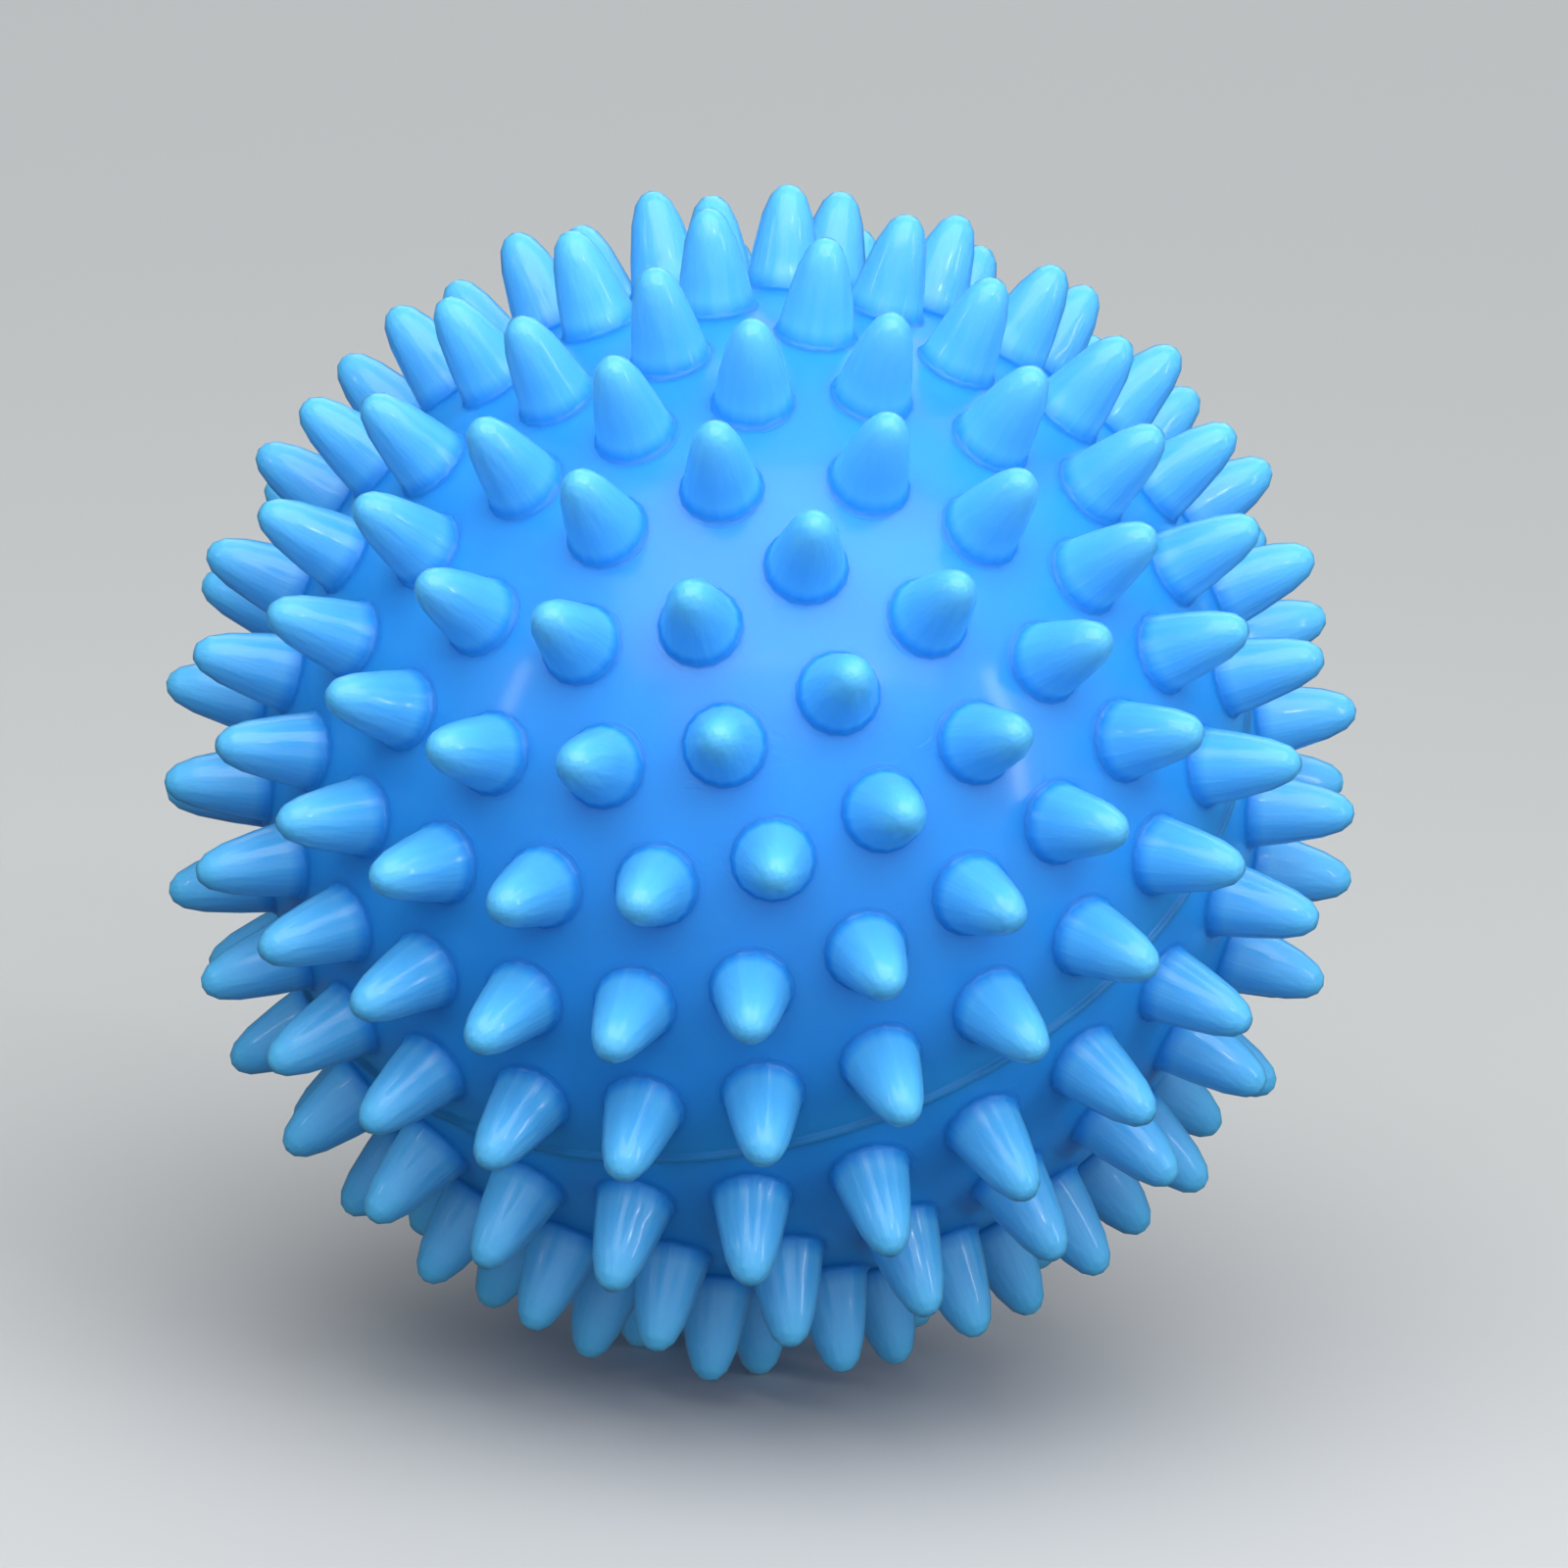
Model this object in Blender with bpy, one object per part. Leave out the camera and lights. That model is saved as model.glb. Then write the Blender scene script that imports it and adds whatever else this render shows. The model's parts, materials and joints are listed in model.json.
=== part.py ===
"""Spiked dryer ball: two moulded halves of soft PVC, lapped together, with an air valve at the lower pole.

Each half is drawn with its pole up. The lower half is the same moulding turned over about the mould's X axis.
The whole ball then leans the way it comes to rest, on three of its spikes. The origin is the ball's centre.
"""

import math

import bmesh
import bpy
from mathutils import Matrix

for old in list(bpy.data.objects):
    bpy.data.objects.remove(old)

MM = 0.001

# Shell of each half
BODY_RADIUS = 29.0 * MM
WALL = 2.0 * MM
SHELL_STEPS = 36
ARC_STEPS = 8
GAP = 0.2 * MM

# Lap joint at the parting line, and the raised line that the mould leaves there
LIP_HEIGHT = 1.6 * MM
LIP_THICKNESS = 0.8 * MM
RIDGE_HEIGHT = 0.25 * MM
RIDGE_WIDTH = 0.45 * MM

# Spikes
SPIKE_LENGTH = 6.0 * MM
SPIKE_BASE_RADIUS = 2.4 * MM
SPIKE_SHOULDER_RADIUS = 1.8 * MM
SPIKE_SHOULDER_SHARE = 0.62
SPIKE_TIP_RADIUS = 0.8 * MM
SPIKE_ROOT = 0.8 * MM
SPIKE_SIDES = 6

# Layout of the spikes: rings about the pole, and how far each ring is turned
RING_STEP = math.radians(13.65)
SPIKES_ROUND_EQUATOR = 26.5
RING_TURNS = [math.radians(turn) for turn in (0.0, 19.7, 18.0, 13.6, 14.3, 3.6, 9.6)]

# Air valve at the lower pole
PLUG_HEAD_RADIUS = 2.2 * MM
PLUG_HEAD_THICKNESS = 0.7 * MM
PLUG_STEM_RADIUS = 1.3 * MM
PLUG_STEM_LENGTH = 6.0 * MM
PLUG_POINT_LENGTH = 1.2 * MM
PLUG_POINT_RADIUS = 0.8 * MM
SEAT_RIM = 0.8 * MM
SEAT_PROUD = 0.4 * MM
SEAT_FLANGE_OVERHANG = 1.2 * MM
SEAT_FLANGE_THICKNESS = 1.0 * MM
SEAT_NOZZLE_LENGTH = 1.5 * MM
VALVE_STEPS = 24

# Finish
PVC_IOR = 1.52
SHARP_ANGLE = math.radians(40)

# How the ball lies: its pole leans from +Z towards a heading, after a turn about itself
LEAN = math.radians(35.5)
LEAN_HEADING = math.radians(-119.3)
OWN_TURN = math.radians(172.4)

inner_radius = BODY_RADIUS - WALL
seat_radius = PLUG_HEAD_RADIUS + GAP + SEAT_RIM
seat_hole_radius = seat_radius + GAP
seat_top = BODY_RADIUS + SEAT_PROUD


def material(name, color, roughness):
    made = bpy.data.materials.new(name)
    made.use_nodes = True
    shader = made.node_tree.nodes["Principled BSDF"]
    shader.inputs["Base Color"].default_value = (*color, 1.0)
    shader.inputs["Roughness"].default_value = roughness
    shader.inputs["IOR"].default_value = PVC_IOR
    made.diffuse_color = (*color, 1.0)
    return made


def finish(bm, name, made_of):
    bmesh.ops.remove_doubles(bm, verts=bm.verts, dist=1e-6)
    bmesh.ops.recalc_face_normals(bm, faces=bm.faces)
    mesh = bpy.data.meshes.new(name)
    bm.to_mesh(mesh)
    bm.free()
    mesh.shade_smooth()
    mesh.set_sharp_from_angle(angle=SHARP_ANGLE)
    mesh.materials.append(made_of)
    return mesh


def revolved(name, profile, steps, made_of, closed):
    """A body turned about Z from (radius, height) points. An open profile starts and ends on the axis."""
    bm = bmesh.new()
    verts = [bm.verts.new((radius, 0.0, height)) for radius, height in profile]
    ends = zip(verts, verts[1:] + verts[:1]) if closed else zip(verts, verts[1:])
    edges = [bm.edges.new(pair) for pair in ends]
    bmesh.ops.spin(
        bm, geom=verts + edges, cent=(0, 0, 0), axis=(0, 0, 1), angle=math.tau, steps=steps, use_merge=True
    )
    return finish(bm, name, made_of)


def arc(radius, first, last):
    """Points on a circle about the centre, from one angle off the pole to another."""
    angles = [first + (last - first) * step / ARC_STEPS for step in range(ARC_STEPS + 1)]
    return [(radius * math.sin(angle), radius * math.cos(angle)) for angle in angles]


def angle_at_height(radius, height):
    return math.acos(height / radius)


def ridge():
    """The raised line round the rim, from the shell down to the parting plane."""
    return [
        (BODY_RADIUS + RIDGE_HEIGHT, GAP / 2 + RIDGE_WIDTH),
        (BODY_RADIUS + RIDGE_HEIGHT, GAP / 2),
    ]


def upper_profile():
    """The upper half's wall: its rim is cut back inside, to take the other half's lip."""
    rebate_radius = inner_radius + LIP_THICKNESS + GAP
    rebate_top = GAP / 2 + LIP_HEIGHT + GAP
    outside = arc(BODY_RADIUS, 0.0, angle_at_height(BODY_RADIUS, GAP / 2 + 2 * RIDGE_WIDTH))
    rebate = [(rebate_radius, GAP / 2), (rebate_radius, rebate_top)]
    inside = arc(inner_radius, angle_at_height(inner_radius, rebate_top), 0.0)
    return outside + ridge() + rebate + inside


def lower_profile():
    """The lower half's wall, pole up: a lip stands on its rim, and the valve's hole goes through its pole."""
    lip_radius = inner_radius + LIP_THICKNESS
    lip_end = -LIP_HEIGHT
    hole = math.asin(seat_hole_radius / BODY_RADIUS)
    inner_hole = math.asin(seat_hole_radius / inner_radius)
    outside = arc(BODY_RADIUS, hole, angle_at_height(BODY_RADIUS, GAP / 2 + 2 * RIDGE_WIDTH))
    lip = [(lip_radius, GAP / 2), (lip_radius, lip_end), (inner_radius, lip_end)]
    inside = arc(inner_radius, math.pi / 2, inner_hole)
    return outside + ridge() + lip + inside


def spike_places():
    """Each spike's (angle off the pole, angle round the pole). As many stand on each ring as its length holds."""
    places = []
    for ring, turn in enumerate(RING_TURNS):
        off_pole = ring * RING_STEP
        count = max(1, round(SPIKES_ROUND_EQUATOR * math.sin(off_pole)))
        places += [(off_pole, turn + math.tau * index / count) for index in range(count)]
    return places


def spikes(name, places, made_of):
    """All the spikes of a half, as separate closed bodies rooted in the shell's wall."""
    shoulder = BODY_RADIUS + SPIKE_LENGTH * SPIKE_SHOULDER_SHARE
    profile = [
        (0.0, BODY_RADIUS + SPIKE_LENGTH),
        (SPIKE_TIP_RADIUS, BODY_RADIUS + SPIKE_LENGTH),
        (SPIKE_SHOULDER_RADIUS, shoulder),
        (SPIKE_BASE_RADIUS, BODY_RADIUS),
        (SPIKE_BASE_RADIUS, BODY_RADIUS - SPIKE_ROOT),
        (0.0, BODY_RADIUS - SPIKE_ROOT),
    ]
    one = revolved(name + "_one", profile, SPIKE_SIDES, made_of, closed=False)
    bm = bmesh.new()
    for off_pole, round_pole in places:
        before = len(bm.verts)
        bm.from_mesh(one)
        bm.verts.ensure_lookup_table()
        turn = Matrix.Rotation(round_pole, 4, "Z") @ Matrix.Rotation(off_pole, 4, "Y")
        bmesh.ops.transform(bm, matrix=turn, verts=bm.verts[before:])
    bpy.data.meshes.remove(one)
    return finish(bm, name, made_of)


def add(name, mesh, parent):
    made = bpy.data.objects.new(name, mesh)
    bpy.context.scene.collection.objects.link(made)
    made.parent = parent
    return made


def moulded_half(name, profile, closed, places, made_of):
    """A shell with its spikes joined on, so that it is one moulding."""
    shell = add(name, revolved(name, profile, SHELL_STEPS, made_of, closed), ball)
    cluster = add(name + "_spikes", spikes(name + "_spikes", places, made_of), shell)
    cluster.hide_render = True
    cluster.display_type = "WIRE"
    join = shell.modifiers.new("join_spikes", "BOOLEAN")
    join.operation = "UNION"
    join.object = cluster
    return shell


def valve_seat(made_of):
    """A turned bush through the shell's hole, held by a flange inside the wall."""
    flange_radius = seat_hole_radius + SEAT_FLANGE_OVERHANG
    flange_top = math.sqrt(inner_radius**2 - flange_radius**2) - GAP
    flange_bottom = flange_top - SEAT_FLANGE_THICKNESS
    nozzle_radius = seat_radius - SEAT_RIM
    nozzle_end = flange_bottom - SEAT_NOZZLE_LENGTH
    recess_radius = PLUG_HEAD_RADIUS + GAP
    recess_floor = seat_top - PLUG_HEAD_THICKNESS - GAP
    bore_radius = PLUG_STEM_RADIUS + GAP
    profile = [
        (bore_radius, recess_floor),
        (recess_radius, recess_floor),
        (recess_radius, seat_top),
        (seat_radius, seat_top),
        (seat_radius, flange_top),
        (flange_radius, flange_top),
        (flange_radius, flange_bottom),
        (nozzle_radius, flange_bottom),
        (nozzle_radius, nozzle_end),
        (bore_radius, nozzle_end),
    ]
    return revolved("valve_seat", profile, VALVE_STEPS, made_of, closed=True)


def valve_plug(made_of):
    """A push-in plug, drawn from its head's underside, where its origin is."""
    profile = [
        (0.0, PLUG_HEAD_THICKNESS),
        (PLUG_HEAD_RADIUS, PLUG_HEAD_THICKNESS),
        (PLUG_HEAD_RADIUS, 0.0),
        (PLUG_STEM_RADIUS, 0.0),
        (PLUG_STEM_RADIUS, PLUG_POINT_LENGTH - PLUG_STEM_LENGTH),
        (PLUG_POINT_RADIUS, -PLUG_STEM_LENGTH),
        (0.0, -PLUG_STEM_LENGTH),
    ]
    return revolved("valve_plug", profile, VALVE_STEPS, made_of, closed=False)


soft_blue = material("soft_pvc_blue", (0.09, 0.36, 0.86), 0.38)
soft_blue_lower = material("soft_pvc_blue_lower", (0.09, 0.36, 0.86), 0.38)
seat_blue = material("valve_rubber_blue", (0.07, 0.30, 0.74), 0.45)
plug_blue = material("plug_pvc_blue", (0.06, 0.26, 0.68), 0.40)

ball = bpy.data.objects.new("ball_as_it_lies", None)
bpy.context.scene.collection.objects.link(ball)
lying = (
    Matrix.Rotation(LEAN_HEADING, 4, "Z") @ Matrix.Rotation(LEAN, 4, "Y") @ Matrix.Rotation(OWN_TURN, 4, "Z")
)
ball.rotation_euler = lying.to_euler()

all_places = spike_places()
moulded_half("upper_half_shell", upper_profile(), False, all_places, soft_blue)
lower = moulded_half("lower_half_shell", lower_profile(), True, all_places[1:], soft_blue_lower)
lower.rotation_euler = (math.pi, 0.0, 0.0)
add("valve_seat", valve_seat(seat_blue), lower)
plug = add("valve_plug", valve_plug(plug_blue), lower)
plug.location = (0.0, 0.0, seat_top - PLUG_HEAD_THICKNESS)
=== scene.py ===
import json
import math

import bmesh
import bpy
from mathutils import Euler, Matrix, Vector

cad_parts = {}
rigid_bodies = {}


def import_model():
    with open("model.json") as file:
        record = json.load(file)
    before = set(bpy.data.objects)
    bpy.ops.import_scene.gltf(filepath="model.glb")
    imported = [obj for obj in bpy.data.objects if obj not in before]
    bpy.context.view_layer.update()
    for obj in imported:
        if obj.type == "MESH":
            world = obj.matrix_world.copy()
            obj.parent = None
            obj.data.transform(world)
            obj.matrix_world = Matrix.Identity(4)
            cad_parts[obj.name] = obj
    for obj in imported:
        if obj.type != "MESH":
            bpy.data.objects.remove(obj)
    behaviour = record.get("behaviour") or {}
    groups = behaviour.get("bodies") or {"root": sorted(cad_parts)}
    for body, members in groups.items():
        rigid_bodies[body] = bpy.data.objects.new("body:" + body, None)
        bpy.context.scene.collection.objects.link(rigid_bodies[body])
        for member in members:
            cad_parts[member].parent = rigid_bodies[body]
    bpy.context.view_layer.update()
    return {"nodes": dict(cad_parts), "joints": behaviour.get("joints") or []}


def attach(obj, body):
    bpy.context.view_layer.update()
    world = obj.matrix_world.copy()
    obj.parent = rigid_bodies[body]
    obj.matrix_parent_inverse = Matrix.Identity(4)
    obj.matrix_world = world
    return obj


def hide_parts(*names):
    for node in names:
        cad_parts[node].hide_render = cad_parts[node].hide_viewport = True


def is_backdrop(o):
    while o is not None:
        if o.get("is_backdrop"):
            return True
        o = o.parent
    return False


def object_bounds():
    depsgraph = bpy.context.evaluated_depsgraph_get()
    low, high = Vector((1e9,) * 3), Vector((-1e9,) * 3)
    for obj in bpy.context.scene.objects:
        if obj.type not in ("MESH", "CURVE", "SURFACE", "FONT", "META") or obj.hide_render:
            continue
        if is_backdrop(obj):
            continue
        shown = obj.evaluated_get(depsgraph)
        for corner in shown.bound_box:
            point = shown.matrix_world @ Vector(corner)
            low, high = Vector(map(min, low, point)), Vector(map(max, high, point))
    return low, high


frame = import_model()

mm = 0.001
print("frame loaded:", ", ".join(sorted(frame["nodes"])))


# helpers

def linearColour(hexColour):
    channels = [int(hexColour[i:i + 2], 16) / 255 for i in (0, 2, 4)]
    linear = [c / 12.92 if c <= 0.04045 else ((c + 0.055) / 1.055) ** 2.4 for c in channels]
    return (*linear, 1.0)


def addNode(tree, kind, inputs=None, **settings):
    node = tree.nodes.new(kind)
    for name, value in settings.items():
        setattr(node, name, value)
    for key, value in (inputs or {}).items():
        if isinstance(value, bpy.types.NodeSocket):
            tree.links.new(value, node.inputs[key])
        else:
            node.inputs[key].default_value = value
    return node


def addObject(name, data):
    made = bpy.data.objects.new(name, data)
    bpy.context.scene.collection.objects.link(made)
    return made


def meshFrom(bm, name):
    bmesh.ops.remove_doubles(bm, verts=bm.verts, dist=0.002 * mm)
    bmesh.ops.recalc_face_normals(bm, faces=bm.faces)
    mesh = bpy.data.meshes.new(name)
    bm.to_mesh(mesh)
    bm.free()
    return mesh


def addLoop(bm, radius, height, count):
    # one ring of points round Z, or a single point on the axis
    if radius == 0.0:
        return [bm.verts.new((0.0, 0.0, height))] * count
    angles = [math.tau * i / count for i in range(count)]
    return [bm.verts.new((radius * math.cos(a), radius * math.sin(a), height)) for a in angles]


def joinLoops(bm, loops):
    for below, above in zip(loops, loops[1:]):
        for i in range(len(below)):
            corners = (below[i - 1], below[i], above[i], above[i - 1])
            bm.faces.new(dict.fromkeys(corners))


def roundedCorner(centreRadius, centreHeight, radius, first, last, steps=4):
    # (radius, height) points on a quarter or so of a small circle, angles in degrees
    angles = [math.radians(first + (last - first) * i / steps) for i in range(steps + 1)]
    return [(centreRadius + radius * math.cos(a), centreHeight + radius * math.sin(a)) for a in angles]


def wallArc(radius, first, last, steps):
    # (radius, height) points of a shell about the ball's centre, angles off the pole in radians
    angles = [first + (last - first) * i / steps for i in range(steps + 1)]
    return [(radius * math.sin(a), radius * math.cos(a)) for a in angles]


# how the ball lies: the valve's slide axis points down its pole

ball = dict(
    skinRadius=29.0 * mm,
    wall=2.0 * mm,
    ownTurn=math.radians(172.4),
)
pole = -Vector(frame["joints"][0]["axis"]).normalized()
lean = pole.angle(Vector((0.0, 0.0, 1.0)))
heading = math.atan2(pole.y, pole.x)
leaning = Matrix.Rotation(heading, 4, "Z") @ Matrix.Rotation(lean, 4, "Y")
lyingUp = leaning @ Matrix.Rotation(ball["ownTurn"], 4, "Z")
lyingDown = lyingUp @ Matrix.Rotation(math.pi, 4, "X")  # for what is drawn with the lower pole up


# camera

view = dict(
    distance=700 * mm,
    elevation=math.radians(14.54),
    roll=math.radians(3.66),
    lens=276.3,
    sensor=36.0,
    shift=(0.0156, -0.00125),
    clipStart=10 * mm,
)


def makeCamera():
    back = Vector((0.0, -math.cos(view["elevation"]), math.sin(view["elevation"])))
    side = Vector((1.0, 0.0, 0.0))
    up = back.cross(side)
    rolledUp = up * math.cos(view["roll"]) - side * math.sin(view["roll"])
    rolledSide = rolledUp.cross(back)
    data = bpy.data.cameras.new("studio_camera")
    data.lens = view["lens"]
    data.sensor_width = view["sensor"]
    data.shift_x, data.shift_y = view["shift"]
    data.clip_start = view["clipStart"]
    made = addObject("studio_camera", data)
    turn = Matrix((rolledSide, rolledUp, back)).transposed().to_4x4()
    made.matrix_world = Matrix.Translation(back * view["distance"]) @ turn
    bpy.context.scene.camera = made


makeCamera()
print("camera ready")


# materials

pvc = dict(
    # between these distances from the ball's centre, the colours below go from skin to tip
    span=(ball["skinRadius"], 35.0 * mm),
    # the colours paint shade into the corner round each foot, and paint the thin spikes lighter than the
    # wall, as the light glowing through them
    colourStopsWithPaintedLight=(
        (0.0, "2898ee"),
        (0.02, "1580dc"),
        (0.06, "2e9cee"),
        (0.18, "54b8f8"),
        (0.6, "56b8f8"),
        (1.0, "58baf8"),
    ),
    # the corner round each foot stays duller than the skin and the spike: shares of the gloss
    cornerGloss=((0.0, 1.0), (0.012, 0.15), (0.06, 0.2), (0.2, 1.5)),
    roughness=0.36,
    gloss=0.35,
    glossRoughness=0.13,
    mottle=9.0 * mm,
    mottleSpan=(0.3, 0.7),  # most of the noise lies between these
    mottleShade=(0.95, 1.04),  # the darkest and palest places, as shares of the colour
    satinChange=(-0.04, 0.05),  # how far the roughness goes below and above its value
    grain=0.35 * mm,
    grainDepth=0.05 * mm,
    grainStrength=0.06,
    dragLines=0.2,
    linesRound=3.5,  # more makes the lines finer
    lineDepth=0.5 * mm,
    ior=1.53,
    specular=0.25,
    glow=0.5,
    glowColour=(0.35, 0.75, 1.0),
    glowDepth=3.0 * mm,
)
seatRubber = dict(
    pvc,
    span=(24.0 * mm, 29.5 * mm),
    # darker deeper into the ball: painted shade down the valve's recess
    colourStopsWithPaintedLight=((0.0, "0a6cc8"), (0.8, "0f7ad8"), (1.0, "1c8cea")),
    roughness=0.42,
    gloss=0.15,
    dragLines=0.0,
)
plugPvc = dict(
    pvc,
    span=(22.0 * mm, 29.5 * mm),
    # darker down the stem, deeper into the ball: painted shade inside the valve
    colourStopsWithPaintedLight=((0.0, "0862bc"), (0.8, "0c72d0"), (1.0, "1a84e4")),
    roughness=0.26,
    gloss=0.6,
    dragLines=0.0,
)


def softPvcSatin(name, look):
    # soft PVC from a fine-blasted mould: satin, with light glowing a little way into it
    made = bpy.data.materials.new(name)
    made.use_nodes = True
    tree = made.node_tree
    shader = tree.nodes["Principled BSDF"]
    place = addNode(tree, "ShaderNodeTexCoord").outputs["Object"]
    height = addNode(tree, "ShaderNodeVectorMath", {0: place}, operation="LENGTH").outputs["Value"]
    low, high = look["span"]
    share = addNode(tree, "ShaderNodeMapRange", {"Value": height, "From Min": low, "From Max": high})
    # colour and gloss both change from the skin out to the tips; the colour carries painted shade round each
    # foot and painted light on the spikes
    colourStopsWithPaintedLight = [(position, linearColour(colour)) for position, colour in look["colourStopsWithPaintedLight"]]
    greys = [(position, (look["gloss"] * part,) * 3 + (1.0,)) for position, part in look["cornerGloss"]]
    ramps = []
    for stops in (colourStopsWithPaintedLight, greys):
        ramp = addNode(tree, "ShaderNodeValToRGB", {"Fac": share.outputs["Result"]})
        elements = ramp.color_ramp.elements
        for element, (position, colour) in zip(elements, (stops[0], stops[-1])):
            element.position = position
            element.color = colour
        for position, colour in stops[1:-1]:
            elements.new(position).color = colour
        ramps.append(ramp.outputs["Color"])
    tintWithPaintedLight, shine = ramps
    tree.links.new(shine, shader.inputs["Coat Weight"])
    # the pigment is a little uneven from place to place
    mottle = addNode(
        tree, "ShaderNodeTexNoise", {"Vector": place, "Scale": 1 / look["mottle"], "Detail": 2.0}
    ).outputs["Fac"]
    least, most = look["mottleSpan"]
    darkest, palest = look["mottleShade"]
    value = addNode(
        tree,
        "ShaderNodeMapRange",
        {"Value": mottle, "From Min": least, "From Max": most, "To Min": darkest, "To Max": palest},
    )
    uneven = addNode(tree, "ShaderNodeHueSaturation", {"Color": tintWithPaintedLight, "Value": value.outputs["Result"]})
    tree.links.new(uneven.outputs["Color"], shader.inputs["Base Color"])
    # handled places are a touch smoother
    smoothest, dullest = [look["roughness"] + change for change in look["satinChange"]]
    satin = addNode(
        tree,
        "ShaderNodeMapRange",
        {"Value": mottle, "From Min": least, "From Max": most, "To Min": smoothest, "To Max": dullest},
    )
    tree.links.new(satin.outputs["Result"], shader.inputs["Roughness"])
    # the mould's blasted grain, drawn coarser than its real 0.05 mm so that it shows
    grain = addNode(tree, "ShaderNodeTexNoise", {"Vector": place, "Scale": 1 / look["grain"], "Detail": 3.0})
    bump = addNode(
        tree,
        "ShaderNodeBump",
        {
            "Height": grain.outputs["Fac"],
            "Strength": look["grainStrength"],
            "Distance": look["grainDepth"],
        },
    )
    if look["dragLines"]:
        # faint lines along each spike, from where it was pulled out of the mould
        along = addNode(tree, "ShaderNodeAttribute", attribute_name="along")
        lines = addNode(
            tree,
            "ShaderNodeTexNoise",
            {"Vector": along.outputs["Vector"], "Scale": look["linesRound"], "Detail": 2.0},
        )
        bump = addNode(
            tree,
            "ShaderNodeBump",
            {
                "Height": lines.outputs["Fac"],
                "Strength": look["dragLines"],
                "Distance": look["lineDepth"],
                "Normal": bump.outputs["Normal"],
            },
        )
    tree.links.new(bump.outputs["Normal"], shader.inputs["Normal"])
    shader.inputs["IOR"].default_value = look["ior"]
    shader.inputs["Specular IOR Level"].default_value = look["specular"]
    shader.inputs["Subsurface Weight"].default_value = look["glow"]
    shader.inputs["Subsurface Radius"].default_value = look["glowColour"]
    shader.inputs["Subsurface Scale"].default_value = look["glowDepth"]
    shader.inputs["Coat Roughness"].default_value = look["glossRoughness"]
    return made


ballPvc = softPvcSatin("soft_pvc_satin", pvc)
seatFinish = softPvcSatin("valve_rubber_satin", seatRubber)
plugFinish = softPvcSatin("plug_pvc_polished", plugPvc)
print("materials ready")


# spikes: one blunt spike, standing on the skin with its foot's middle at the origin

spike = dict(
    footRadius=2.5 * mm,
    sides=16,
    collarRadius=2.75 * mm,  # the skin's points stand in a second ring here
    # (radius, height) in mm, from just above the foot to the blunt tip
    outline=((2.21, 0.3), (1.92, 2.1), (1.48, 4.15), (1.04, 5.3), (0.55, 5.84), (0.0, 6.0)),
    linesEnd=1.8 * mm,  # the lines along it fade out where it gets thinner than this
    linesTurn=30.0 * mm,  # and they wander slowly along their length
    lengthSpread=0.015,
    seed=7,
)


def footHeight():
    # the foot's edge lies on the ball's skin
    return math.sqrt(ball["skinRadius"] ** 2 - spike["footRadius"] ** 2) - ball["skinRadius"]


def makeSpike():
    bm = bmesh.new()
    outline = [(spike["footRadius"], footHeight())]
    outline += [(radius * mm, height * mm) for radius, height in spike["outline"]]
    joinLoops(bm, [addLoop(bm, radius, height, spike["sides"]) for radius, height in outline])
    mesh = bpy.data.meshes.new("one_spike")
    bm.to_mesh(mesh)
    bm.free()
    # the way round the spike and a little of its height, for the lines along it
    along = mesh.attributes.new("along", "FLOAT_VECTOR", "POINT")
    for item, vert in zip(along.data, mesh.vertices):
        flat = Vector((vert.co.x, vert.co.y, 0.0))
        flat /= max(flat.length, spike["linesEnd"])
        item.vector = flat + Vector((0.0, 0.0, vert.co.z / spike["linesTurn"]))
    made = addObject("one_spike", mesh)
    made.hide_render = True
    made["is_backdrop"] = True
    return made


# layout: rings of spikes about the pole, as many on each as its length holds

layout = dict(
    ringStep=math.radians(13.65),
    roundEquator=26.5,
    ringTurns=[math.radians(t) for t in (0.0, 19.7, 18.0, 13.6, 14.3, 3.6, 9.6)],
)


def spikeTurns():
    turns = []
    for ring, ringTurn in enumerate(layout["ringTurns"]):
        offPole = ring * layout["ringStep"]
        count = max(1, round(layout["roundEquator"] * math.sin(offPole)))
        turns += [Euler((0.0, offPole, ringTurn + math.tau * i / count)) for i in range(count)]
    return turns


def makePlaces(name, turns):
    # a point for each spike's foot, carrying how the spike is turned
    mesh = bpy.data.meshes.new(name)
    feet = [turn.to_matrix() @ Vector((0.0, 0.0, ball["skinRadius"])) for turn in turns]
    mesh.from_pydata(feet, [], [])
    carried = mesh.attributes.new("turn", "FLOAT_VECTOR", "POINT")
    for item, turn in zip(carried.data, turns):
        item.vector = turn
    made = addObject(name, mesh)
    made.hide_render = True
    made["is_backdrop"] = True
    return made


# halves: each shell is drawn with its pole up, its rim lapping into the other's

rim = dict(
    segments=144,
    skinEnd=0.42 * mm,
    bead=((29.04, 0.31), (29.17, 0.24), (29.26, 0.12), (29.28, 0.01)),  # mm, the raised parting line
    lipHeight=1.6 * mm,
    lipThickness=0.8 * mm,
    gap=0.2 * mm,
    fillStep=1.15 * mm,
    fillClear=0.5 * mm,
    thinnest=0.08 * mm,
    insideSteps=14,
    insideOpening=1.0 * mm,  # the inner wall's last ring at the pole, closed by one face
    meeting=0.01 * mm,  # where each half's rim starts, off the parting plane
    skinTolerance=0.005 * mm,
    weld=0.02 * mm,
    sharpFrom=math.radians(50),
)
valveHole = dict(
    radius=3.4 * mm,
    segments=36,
)


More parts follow.
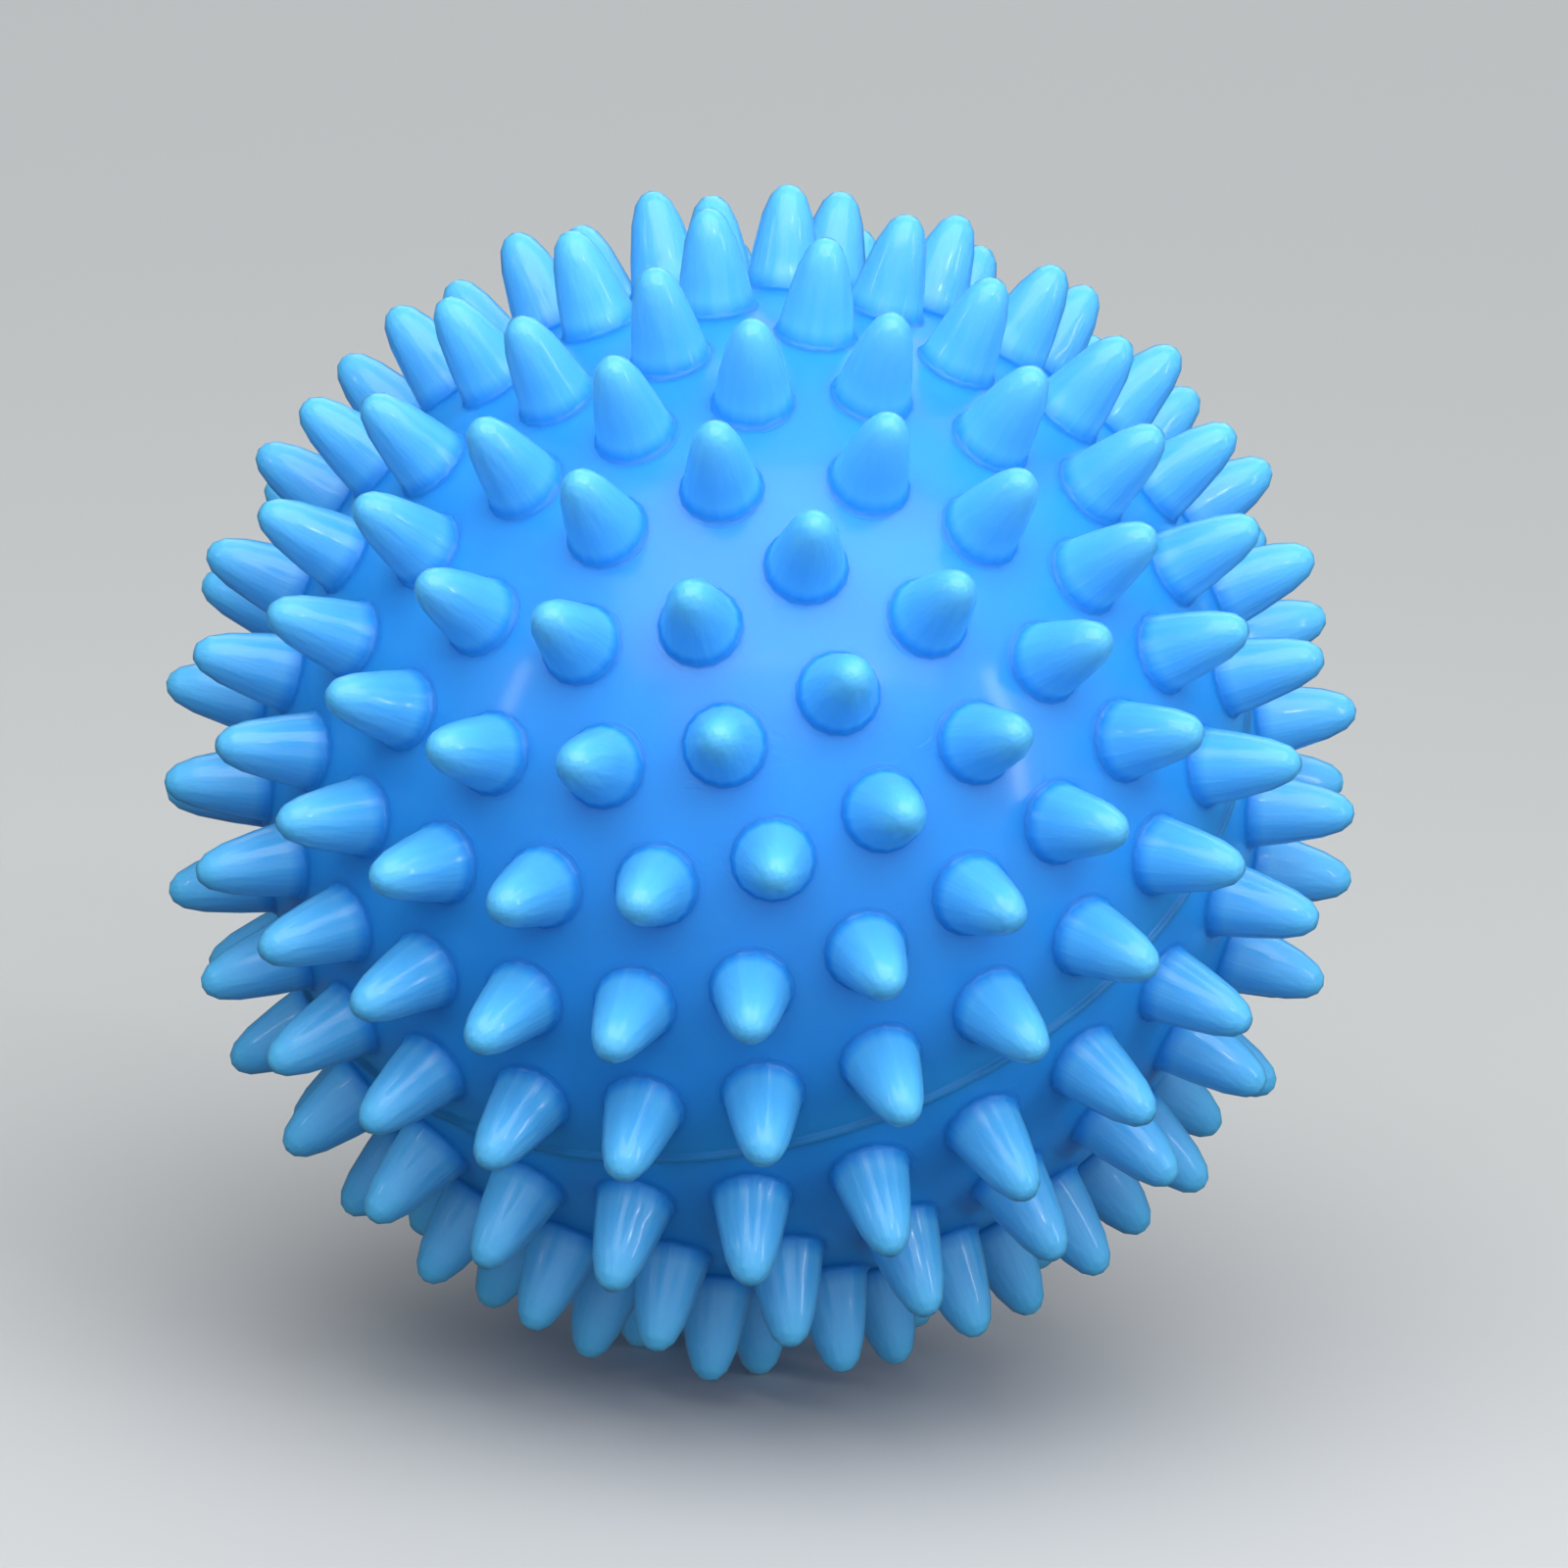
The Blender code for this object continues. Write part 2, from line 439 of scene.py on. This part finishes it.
def fillPoints(turns, hole):
    # evenly spread points on the skin between the spikes' feet
    radius = ball["skinRadius"]
    axes = [turn.to_matrix() @ Vector((0.0, 0.0, 1.0)) for turn in turns]
    clear = math.cos((spike["collarRadius"] + rim["fillClear"]) / radius)
    total = int(math.tau * radius ** 2 / rim["fillStep"] ** 2)
    golden = math.pi * (3 - math.sqrt(5))
    points = []
    for i in range(total):
        z = (i + 0.5) / total
        flat = math.sqrt(1 - z * z)
        way = Vector((flat * math.cos(golden * i), flat * math.sin(golden * i), z))
        nearRim = z * radius < rim["skinEnd"] + rim["fillClear"]
        nearHole = flat * radius < hole + rim["fillClear"]
        if nearRim or nearHole or any(way.dot(axis) > clear for axis in axes):
            continue
        points.append(way * radius)
    return points


def turnThinFaces(bm):
    # a needle-thin triangle swaps its long side for the other diagonal
    long = {}  # keyed by edge, so that their order is the same each run
    for face in bm.faces:
        side = max(face.edges, key=lambda e: e.calc_length())
        height = 2 * face.calc_area() / side.calc_length()
        if height < rim["thinnest"] and len(side.link_faces) == 2:
            long[side] = True
    bmesh.ops.rotate_edges(bm, edges=list(long), use_ccw=False)


def drawSkin(bm, turns, hole):
    # the skin is the hull of its points, less the flat caps over the feet, the rim and the valve's hole
    radius = ball["skinRadius"]
    opening = bm.verts.layers.int.new("opening")
    loops = []
    for turn in turns:
        stand = turn.to_matrix().to_4x4()
        loop = addLoop(bm, spike["footRadius"], radius + footHeight(), spike["sides"])
        collarHeight = math.sqrt(radius ** 2 - spike["collarRadius"] ** 2)
        collar = addLoop(bm, spike["collarRadius"], collarHeight, spike["sides"])
        bmesh.ops.transform(bm, matrix=stand, verts=loop + collar)
        loops.append(loop)
    rimLoop = addLoop(bm, math.sqrt(radius ** 2 - rim["skinEnd"] ** 2), rim["skinEnd"], rim["segments"])
    loops.append(rimLoop)
    holeLoop = []
    if hole:
        holeLoop = addLoop(bm, hole, math.sqrt(radius ** 2 - hole ** 2), valveHole["segments"])
        loops.append(holeLoop)
    for number, loop in enumerate(loops, start=1):
        for vert in loop:
            vert[opening] = number
    for point in fillPoints(turns, hole):
        bm.verts.new(point)
    bmesh.ops.convex_hull(bm, input=bm.verts)
    caps = [f for f in bm.faces if f.verts[0][opening] and len({v[opening] for v in f.verts}) == 1]
    bmesh.ops.delete(bm, geom=caps, context="FACES_ONLY")
    loose = [e for e in bm.edges if not e.link_faces]
    bmesh.ops.delete(bm, geom=loose, context="EDGES")
    loose = [v for v in bm.verts if not v.link_faces]
    bmesh.ops.delete(bm, geom=loose, context="VERTS")
    turnThinFaces(bm)
    return rimLoop, holeLoop


def drawInside(bm, rimLoop, holeLoop, rimOutline, hole):
    # from the rim over the parting line and the lap, then up the inner wall
    count = rim["segments"]
    inner = ball["skinRadius"] - ball["wall"]
    start = math.acos(rimOutline[-1][1] / inner)
    outline = [(radius * mm, height * mm) for radius, height in rim["bead"]] + rimOutline
    end = math.asin((hole or rim["insideOpening"]) / inner)
    outline += wallArc(inner, start, end, rim["insideSteps"])[1:]
    loops = [rimLoop] + [addLoop(bm, radius, height, count) for radius, height in outline]
    joinLoops(bm, loops)
    if not hole:
        bm.faces.new(loops[-1])
        return
    border = [e for e in bm.edges if len(e.link_faces) == 1]
    ends = set(loops[-1] + holeLoop)
    ring = [e for e in border if e.verts[0] in ends and e.verts[1] in ends]
    bmesh.ops.bridge_loops(bm, edges=ring)


def makeShell(name, turns, rimOutline, hole):
    bm = bmesh.new()
    rimLoop, holeLoop = drawSkin(bm, turns, hole)
    drawInside(bm, rimLoop, holeLoop, rimOutline, hole)
    mesh = bpy.data.meshes.new(name)
    bmesh.ops.recalc_face_normals(bm, faces=bm.faces)
    bm.to_mesh(mesh)
    bm.free()
    return addObject(name, mesh)


def spikyTree():
    # stands a spike on each place, welds the feet to the skin and sets the finish
    tree = bpy.data.node_groups.new("spiky_skin", "GeometryNodeTree")
    sockets = (
        ("Skin", "NodeSocketGeometry"),
        ("Places", "NodeSocketObject"),
        ("Spike", "NodeSocketObject"),
        ("Length Spread", "NodeSocketFloat"),
        ("Seed", "NodeSocketInt"),
        ("Weld Distance", "NodeSocketFloat"),
        ("Finish", "NodeSocketMaterial"),
    )
    for name, kind in sockets:
        tree.interface.new_socket(name, in_out="INPUT", socket_type=kind)
    tree.interface.new_socket("Moulding", in_out="OUTPUT", socket_type="NodeSocketGeometry")
    given = addNode(tree, "NodeGroupInput").outputs
    points = addNode(tree, "GeometryNodeObjectInfo", {"Object": given["Places"]})
    one = addNode(tree, "GeometryNodeObjectInfo", {"Object": given["Spike"], "As Instance": True})
    turn = addNode(tree, "GeometryNodeInputNamedAttribute", {"Name": "turn"}, data_type="FLOAT_VECTOR")
    facing = addNode(tree, "FunctionNodeEulerToRotation", {"Euler": turn.outputs["Attribute"]})
    shortest = addNode(
        tree, "ShaderNodeMath", {0: 1.0, 1: given["Length Spread"]}, operation="SUBTRACT"
    )
    length = addNode(tree, "FunctionNodeRandomValue", data_type="FLOAT")
    tree.links.new(shortest.outputs[0], length.inputs[2])
    length.inputs[3].default_value = 1.0
    tree.links.new(given["Seed"], length.inputs["Seed"])
    size = addNode(tree, "ShaderNodeCombineXYZ", {"X": 1.0, "Y": 1.0, "Z": length.outputs[1]})
    stand = addNode(
        tree,
        "GeometryNodeInstanceOnPoints",
        {
            "Points": points.outputs["Geometry"],
            "Instance": one.outputs["Geometry"],
            "Rotation": facing.outputs["Rotation"],
            "Scale": size.outputs["Vector"],
        },
    )
    real = addNode(tree, "GeometryNodeRealizeInstances", {"Geometry": stand.outputs["Instances"]})
    both = addNode(tree, "GeometryNodeJoinGeometry", {"Geometry": real.outputs["Geometry"]})
    tree.links.new(given["Skin"], both.inputs["Geometry"])
    weld = addNode(
        tree,
        "GeometryNodeMergeByDistance",
        {"Geometry": both.outputs["Geometry"], "Distance": given["Weld Distance"]},
    )
    whole = addNode(tree, "GeometryNodeRealizeInstances", {"Geometry": weld.outputs["Geometry"]})
    finish = addNode(
        tree, "GeometryNodeSetMaterial", {"Geometry": whole.outputs["Geometry"], "Material": given["Finish"]}
    )
    addNode(tree, "NodeGroupOutput", {"Moulding": finish.outputs["Geometry"]})
    return tree


def roundSkinNormals(mesh):
    # the skin is shaded as the true sphere, so that its small triangles don't show
    normals = [corner.vector.copy() for corner in mesh.corner_normals]
    for loop in mesh.loops:
        point = mesh.vertices[loop.vertex_index].co
        if abs(point.length - ball["skinRadius"]) < rim["skinTolerance"]:
            normals[loop.index] = point.normalized()
    mesh.normals_split_custom_set(normals)


def bakeHalf(name, shell, places, tree, lying):
    values = {
        "Places": places,
        "Spike": oneSpike,
        "Length Spread": spike["lengthSpread"],
        "Seed": spike["seed"],
        "Weld Distance": rim["weld"],
        "Finish": ballPvc,
    }
    modifier = shell.modifiers.new("spiky_skin", "NODES")
    modifier.node_group = tree
    for item in tree.interface.items_tree:
        if item.in_out == "INPUT" and item.name in values:
            modifier[item.identifier] = values[item.name]
    graph = bpy.context.evaluated_depsgraph_get()
    mesh = bpy.data.meshes.new_from_object(shell.evaluated_get(graph))
    shell.modifiers.remove(modifier)
    bm = bmesh.new()
    bm.from_mesh(mesh)
    bmesh.ops.recalc_face_normals(bm, faces=bm.faces)
    openEdges = sum(not e.is_manifold for e in bm.edges)
    bm.to_mesh(mesh)
    bm.free()
    mesh.shade_smooth()
    mesh.set_sharp_from_angle(angle=rim["sharpFrom"])
    roundSkinNormals(mesh)
    mesh.transform(lying)
    made = addObject(name, mesh)
    bpy.data.objects.remove(shell)
    print(name, len(mesh.polygons), "faces,", openEdges, "open edges")
    return made


innerRadius = ball["skinRadius"] - ball["wall"]
lipRadius = innerRadius + rim["lipThickness"]
rebateRadius = lipRadius + rim["gap"]
rebateTop = rim["lipHeight"] + 1.5 * rim["gap"]
upperRim = [(rebateRadius, rim["meeting"]), (rebateRadius, rebateTop)]
lowerRim = [(lipRadius, rim["meeting"]), (lipRadius, -rim["lipHeight"]), (innerRadius, -rim["lipHeight"])]

oneSpike = makeSpike()
allTurns = spikeTurns()
halfTree = spikyTree()
upperHalf = bakeHalf(
    "upper_half_moulding",
    makeShell("upper_shell", allTurns, upperRim, 0.0),
    makePlaces("upper_places", allTurns),
    halfTree,
    lyingUp,
)
lowerHalf = bakeHalf(
    "lower_half_moulding",
    makeShell("lower_shell", allTurns[1:], lowerRim, valveHole["radius"]),
    makePlaces("lower_places", allTurns[1:]),
    halfTree,
    lyingDown,
)
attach(upperHalf, "ball")
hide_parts("upper_half_shell")
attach(lowerHalf, "ball")
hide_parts("lower_half_shell")
for helper in [o for o in bpy.data.objects if o.name in ("one_spike", "upper_places", "lower_places")]:
    bpy.data.objects.remove(helper)
print("halves moulded")


# valve: a bush through the lower pole, and the plug pushed into it, both drawn with that pole up

valve = dict(
    segments=72,
    top=29.4 * mm,
    headRadius=2.2 * mm,
    headThickness=0.7 * mm,
    stemRadius=1.3 * mm,
    stemLength=6.0 * mm,
    pointLength=1.2 * mm,
    pointRadius=0.8 * mm,
    gap=0.2 * mm,
    lip=0.8 * mm,
    edge=0.16 * mm,
    flangeRadius=4.6 * mm,
    flangeTop=26.4 * mm,
    flangeThickness=1.0 * mm,
    nozzleLength=1.5 * mm,
    sealHeights=(-1.6, -2.9),  # mm below the head
    sealProud=0.1 * mm,
    dimpleRadius=0.55 * mm,
    dimpleDepth=0.16 * mm,
    notchHalfAngle=math.radians(24),
    notchDepth=0.42 * mm,
    notchStart=1.76 * mm,  # the head's points outside this radius move
    notchLowest=0.05 * mm,  # and above this height
    sharpFrom=math.radians(40),
)


def turned(name, outline, closed):
    # a body turned about Z from (radius, height) points
    bm = bmesh.new()
    loops = [addLoop(bm, radius, height, valve["segments"]) for radius, height in outline]
    joinLoops(bm, loops + loops[:1] if closed else loops)
    mesh = meshFrom(bm, name)
    mesh.shade_smooth()
    mesh.set_sharp_from_angle(angle=valve["sharpFrom"])
    return mesh


def makeSeat():
    edge = valve["edge"]
    recess = valve["headRadius"] + valve["gap"]
    outer = recess + valve["lip"]
    bore = valve["stemRadius"] + valve["gap"]
    floor = valve["top"] - valve["headThickness"] - valve["gap"]
    flangeBottom = valve["flangeTop"] - valve["flangeThickness"]
    end = flangeBottom - valve["nozzleLength"]
    outline = [(bore, end + edge), (bore, floor - edge), (bore + edge, floor), (recess, floor)]
    outline += roundedCorner(recess + edge, valve["top"] - edge, edge, 180, 90)
    outline += roundedCorner(outer - edge, valve["top"] - edge, edge, 90, 0)
    outline += [(outer, valve["flangeTop"])]
    outline += roundedCorner(valve["flangeRadius"] - edge, valve["flangeTop"] - edge, edge, 90, 0)
    outline += roundedCorner(valve["flangeRadius"] - edge, flangeBottom + edge, edge, 0, -90)
    outline += [(recess, flangeBottom)]
    outline += roundedCorner(recess - edge, end + edge, edge, 0, -90)
    outline += [(bore + edge, end)]
    return turned("valve_seat_bush", outline, closed=True)


def plugOutline():
    edge = valve["edge"]
    head, stem = valve["headRadius"], valve["stemRadius"]
    thick = valve["headThickness"]
    dimple = valve["dimpleRadius"]
    # from the shallow dimple in the head's middle, over its rounded rim and down the stem
    outline = [(0.0, thick - valve["dimpleDepth"]), (dimple * 0.6, thick - valve["dimpleDepth"] * 0.8)]
    outline += [(dimple, thick - 0.01 * mm), (dimple + edge, thick)]
    outline += roundedCorner(head - edge, thick - edge, edge, 90, 0)
    outline += roundedCorner(head - edge / 2, edge / 2, edge / 2, 0, -90)
    outline += [(stem + edge, 0.0), (stem, -edge)]
    for seal in valve["sealHeights"]:
        # a low rounded bead
        middle, proud = seal * mm, valve["sealProud"]
        outline += [(stem, middle + 2 * proud), (stem + 0.8 * proud, middle + proud), (stem + proud, middle)]
        outline += [(stem + 0.8 * proud, middle - proud), (stem, middle - 2 * proud)]
    outline += [(stem, valve["pointLength"] - valve["stemLength"])]
    outline += roundedCorner(valve["pointRadius"] - edge, edge - valve["stemLength"], edge, 0, -90)
    outline += [(0.0, -valve["stemLength"])]
    return outline


def makePlug():
    mesh = turned("air_plug", plugOutline(), closed=False)
    # a fingernail notch at one side of the head
    for vert in mesh.vertices:
        across = math.hypot(vert.co.x, vert.co.y)
        off = abs(math.atan2(vert.co.y, vert.co.x)) / valve["notchHalfAngle"]
        onRim = across > valve["notchStart"] and vert.co.z > valve["notchLowest"]
        if off < 1.0 and onRim:
            pull = 1.0 - valve["notchDepth"] * math.cos(off * math.pi / 2) / across
            vert.co.x *= pull
            vert.co.y *= pull
    mesh.transform(Matrix.Translation((0.0, 0.0, valve["top"] - valve["headThickness"])))
    return mesh


for pieceName, mesh, body, node, slotName, finish in (
    ("valve_seat_bush", makeSeat(), "ball", "valve_seat", "valve_rubber", seatFinish),
    ("air_plug", makePlug(), "plug", "valve_plug", "plug_pvc", plugFinish),
):
    mesh.transform(lyingDown)
    mesh.materials.append(finish)
    piece = addObject(pieceName, mesh)
    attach(piece, body)
    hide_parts(node)
print("valve fitted")


# floor and light

studio = dict(
    floorSize=3.0,
    floor="c0c0bd",
    floorRoughness=0.8,
    air="e6ecf4",
    darkSide=0.08,
    brightSide=1.12,
    fadeStart=-0.45,  # cosine of the angle from the bright side where the light starts to grow
    brightWay=(0.24, -0.6, 0.77),  # the white ceiling and wall behind the camera
)
lamps = {
    # azimuth from left to right and elevation in degrees, distance and size in metres, power in watts
    "overhead_softbox": dict(azimuth=5, elevation=63, distance=0.22, size=(0.3, 0.2), power=0.42),
    "front_reflector": dict(azimuth=-5, elevation=34, distance=0.7, size=(0.4, 0.25), power=0.36),
    "back_softbox": dict(azimuth=172, elevation=42, distance=0.9, size=(0.9, 0.6), power=1.8),
    "left_window": dict(azimuth=-64, elevation=22, distance=0.7, size=(0.035, 0.13), power=0.14),
    "right_window": dict(azimuth=62, elevation=20, distance=0.7, size=(0.045, 0.32), power=0.5),
    "right_lamp": dict(azimuth=27, elevation=37, distance=0.7, size=(0.05, 0.05), power=0.22),
}


def makeLamp(name, setting):
    data = bpy.data.lights.new(name, "AREA")
    data.shape = "RECTANGLE"
    data.size, data.size_y = setting["size"]
    data.energy = setting["power"]
    azimuth = math.radians(setting["azimuth"])
    elevation = math.radians(setting["elevation"])
    flat = math.cos(elevation)
    way = Vector((math.sin(azimuth) * flat, -math.cos(azimuth) * flat, math.sin(elevation)))
    made = addObject(name, data)
    made.location = way * setting["distance"]
    made.rotation_euler = way.to_track_quat("Z", "Y").to_euler()


def makeFloor(height):
    bm = bmesh.new()
    half = studio["floorSize"] / 2
    bmesh.ops.create_grid(bm, x_segments=2, y_segments=2, size=half)
    mesh = bpy.data.meshes.new("studio_floor")
    bmesh.ops.translate(bm, vec=(0.0, 0.0, height), verts=bm.verts)
    bm.to_mesh(mesh)
    bm.free()
    # matt board: the light on it fades softly, with no glare
    paint = bpy.data.materials.new("matt_white_board")
    paint.use_nodes = True
    shader = paint.node_tree.nodes["Principled BSDF"]
    shader.inputs["Base Color"].default_value = linearColour(studio["floor"])
    shader.inputs["Roughness"].default_value = studio["floorRoughness"]
    mesh.materials.append(paint)
    made = addObject("studio_floor", mesh)
    # the floor throws no light back up, so the underside falls off into shade
    made.visible_diffuse = False
    made.visible_glossy = False
    made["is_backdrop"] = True


def makeWorld():
    # soft light that grows smoothly towards the bright side of the room
    world = bpy.data.worlds.new("studio_air")
    world.use_nodes = True
    tree = world.node_tree
    way = addNode(tree, "ShaderNodeTexCoord").outputs["Generated"]
    bright = Vector(studio["brightWay"]).normalized()
    facing = addNode(tree, "ShaderNodeVectorMath", {0: way, 1: bright}, operation="DOT_PRODUCT")
    strength = addNode(
        tree,
        "ShaderNodeMapRange",
        {
            "Value": facing.outputs["Value"],
            "From Min": studio["fadeStart"],
            "To Min": studio["darkSide"],
            "To Max": studio["brightSide"],
        },
        interpolation_type="SMOOTHSTEP",
    )
    back = tree.nodes["Background"]
    back.inputs["Color"].default_value = linearColour(studio["air"])
    tree.links.new(strength.outputs["Result"], back.inputs["Strength"])
    bpy.context.scene.world = world


makeWorld()
for lampName, lampSetting in lamps.items():
    makeLamp(lampName, lampSetting)
makeFloor(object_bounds()[0].z)
bpy.context.scene.view_settings.view_transform = "Standard"
print("studio ready")
